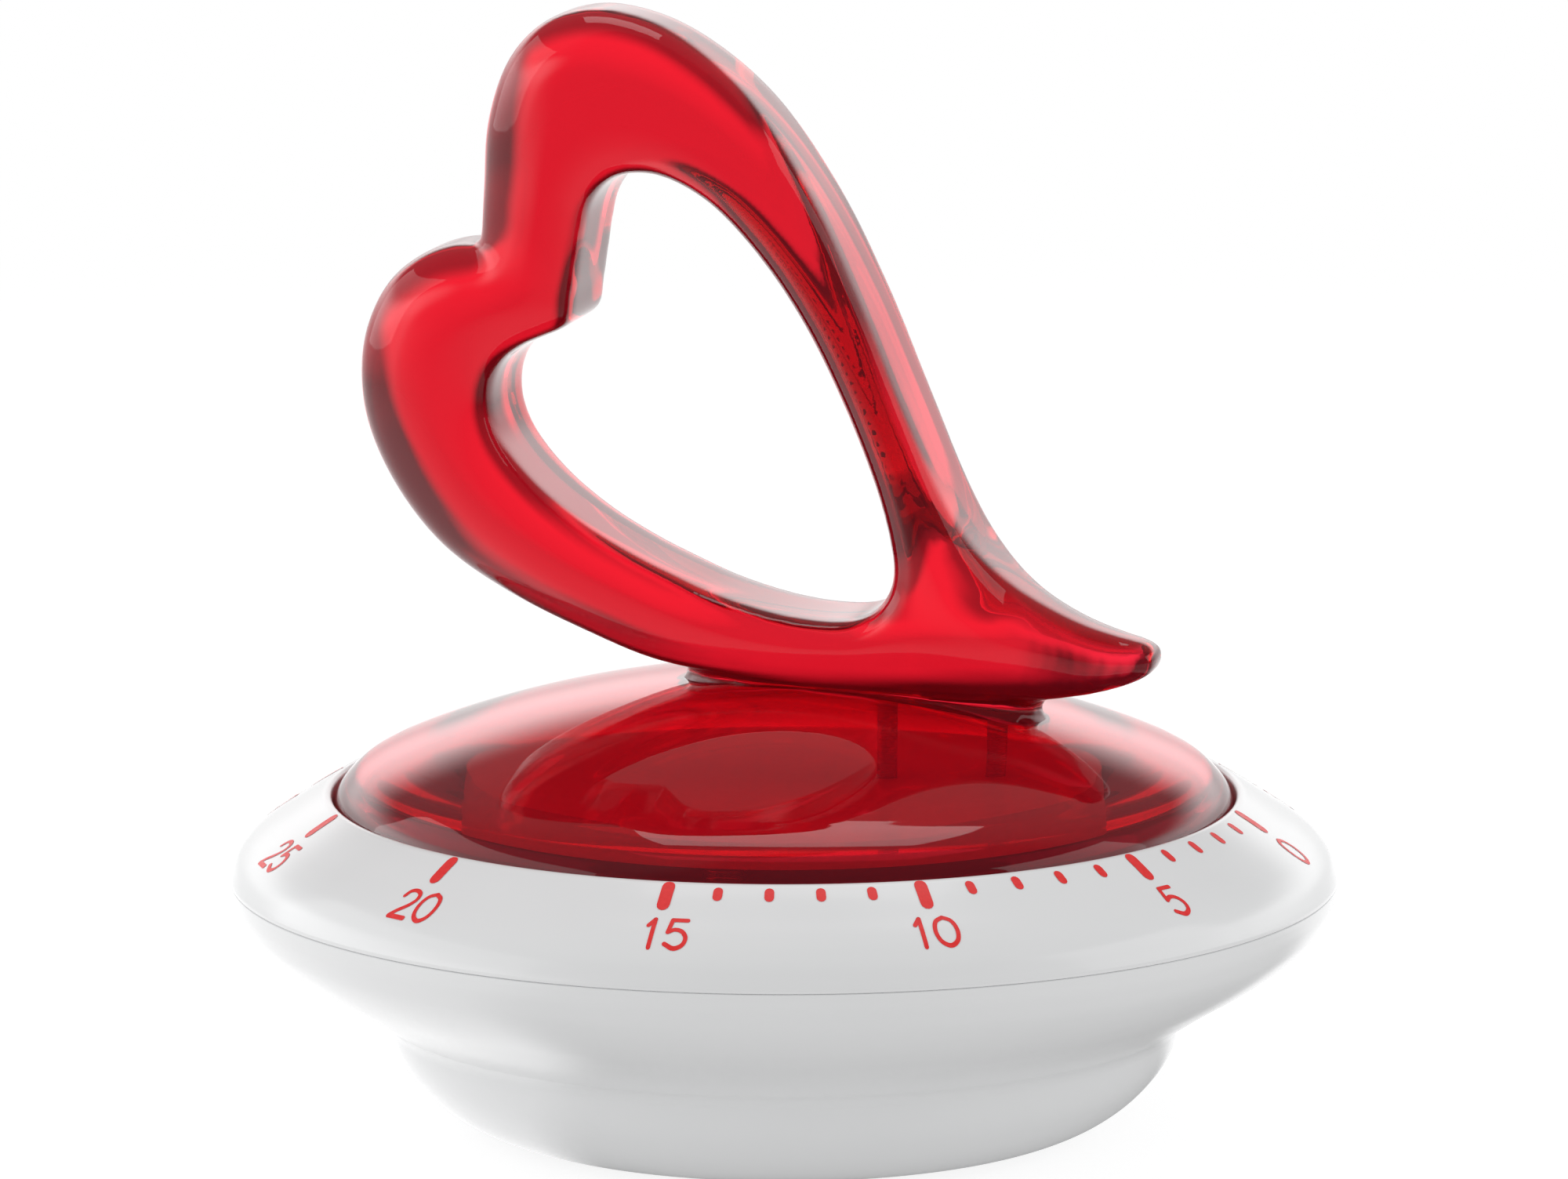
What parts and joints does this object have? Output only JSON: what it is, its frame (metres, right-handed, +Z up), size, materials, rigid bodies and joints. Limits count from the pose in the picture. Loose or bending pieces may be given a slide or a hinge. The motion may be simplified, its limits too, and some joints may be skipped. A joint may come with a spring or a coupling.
{
  "type": "kitchen timer",
  "caption": "Wind-up kitchen timer: white saucer case with a printed minute scale, clear red dome knob with an open heart handle, clockwork and bell inside.",
  "frame": {"origin": "on the knob's turning axis, at the surface the timer stands on", "axes": "+Z up along the turning axis, +X towards the scale's zero mark and the heart's tail, heart in the XZ plane"},
  "size_m": [0.1004, 0.1004, 0.1014],
  "materials": {
    "case_white": "white gloss moulding",
    "foot_rubber": "soft grey anti-slip rubber",
    "carrier_black": "dark matte moulding",
    "bush_nylon": "natural nylon",
    "knob_red": "clear red tinted, polished",
    "disc_ivory": "light moulding, smooth",
    "brass": "stamped brass sheet",
    "steel": "turned steel, bright",
    "bell_steel": "nickel-plated steel bell"
  },
  "bodies": {
    "case": {"base_shell": "case_white", "foot_ring": "foot_rubber", "dial_ring": "case_white", "carrier_plate": "carrier_black", "carrier_screws": "steel", "arbor_bush": "bush_nylon", "bottom_plate": "brass", "top_plate": "brass", "plate_pillars": "brass", "pillar_spacers": "steel", "movement_screws": "steel", "pillar_nuts": "steel", "spring_barrel": "brass", "mainspring": "steel", "hairspring": "steel", "bell_cup": "bell_steel", "bell_post": "steel", "bell_nut": "steel"},
    "knob": {"knob_dome": "knob_red", "heart_handle": "knob_red", "handle_screws": "steel", "drive_disc": "disc_ivory", "winding_arbor": "steel", "clutch_washer": "steel", "main_wheel": "brass", "alarm_cam": "brass", "retaining_clip": "steel"},
    "second_wheel_set": {"second_arbor": "steel", "second_wheel": "brass"},
    "third_wheel_set": {"third_arbor": "steel", "third_wheel": "brass"},
    "escape_wheel_set": {"escape_arbor": "steel", "escape_wheel": "brass"},
    "pallet": {"pallet_arbor": "steel", "pallet_lever": "brass", "pallet_pins": "steel"},
    "balance": {"balance_staff": "steel", "balance_wheel": "brass", "balance_pin": "steel"},
    "hammer": {"hammer_arbor": "steel", "hammer_arm": "brass", "hammer_head": "brass"},
    "stop": {"stop_arbor": "steel", "stop_lever": "brass"}
  },
  "joints": [
    {"name": "knob_turn", "type": "hinge", "parent": "case", "child": "knob", "pos_m": [0, 0, 0.03], "axis": [0, 0, -1], "range_deg": [0, 350]},
    {"name": "second_wheel_spin", "type": "hinge", "parent": "case", "child": "second_wheel_set", "pos_m": [-0.01504, -0.00547, 0.012], "axis": [0, 0, -1], "range_deg": [-2450, 0]},
    {"name": "third_wheel_spin", "type": "hinge", "parent": "case", "child": "third_wheel_set", "pos_m": [-0.00785, -0.01508, 0.012], "axis": [0, 0, -1], "range_deg": [0, 12250]},
    {"name": "escape_wheel_spin", "type": "hinge", "parent": "case", "child": "escape_wheel_set", "pos_m": [0.00399, -0.01704, 0.012], "axis": [0, 0, -1], "range_deg": [-61250, 0]},
    {"name": "pallet_rock", "type": "hinge", "parent": "case", "child": "pallet", "pos_m": [0.01185, -0.01355, 0.0135], "axis": [0, 0, -1], "range_deg": [-10, 10]},
    {"name": "balance_swing", "type": "hinge", "parent": "case", "child": "balance", "pos_m": [0.01655, -0.00707, 0.012], "axis": [0, 0, -1], "range_deg": [-30, 30]},
    {"name": "hammer_swing", "type": "hinge", "parent": "case", "child": "hammer", "pos_m": [-0.0122, 0.0146, 0.009], "axis": [0, 0, -1], "range_deg": [0, 12]},
    {"name": "stop_lever_lift", "type": "hinge", "parent": "case", "child": "stop", "pos_m": [0.01532, 0.01286, 0.0108], "axis": [0, 0, -1], "range_deg": [0, 5]}
  ],
  "couplings": [
    {"joint": "second_wheel_spin", "follows": "knob_turn", "ratio": -7},
    {"joint": "third_wheel_spin", "follows": "knob_turn", "ratio": 35},
    {"joint": "escape_wheel_spin", "follows": "knob_turn", "ratio": -175},
    {"joint": "pallet_rock", "follows": "balance_swing", "ratio": -0.33333}
  ]
}
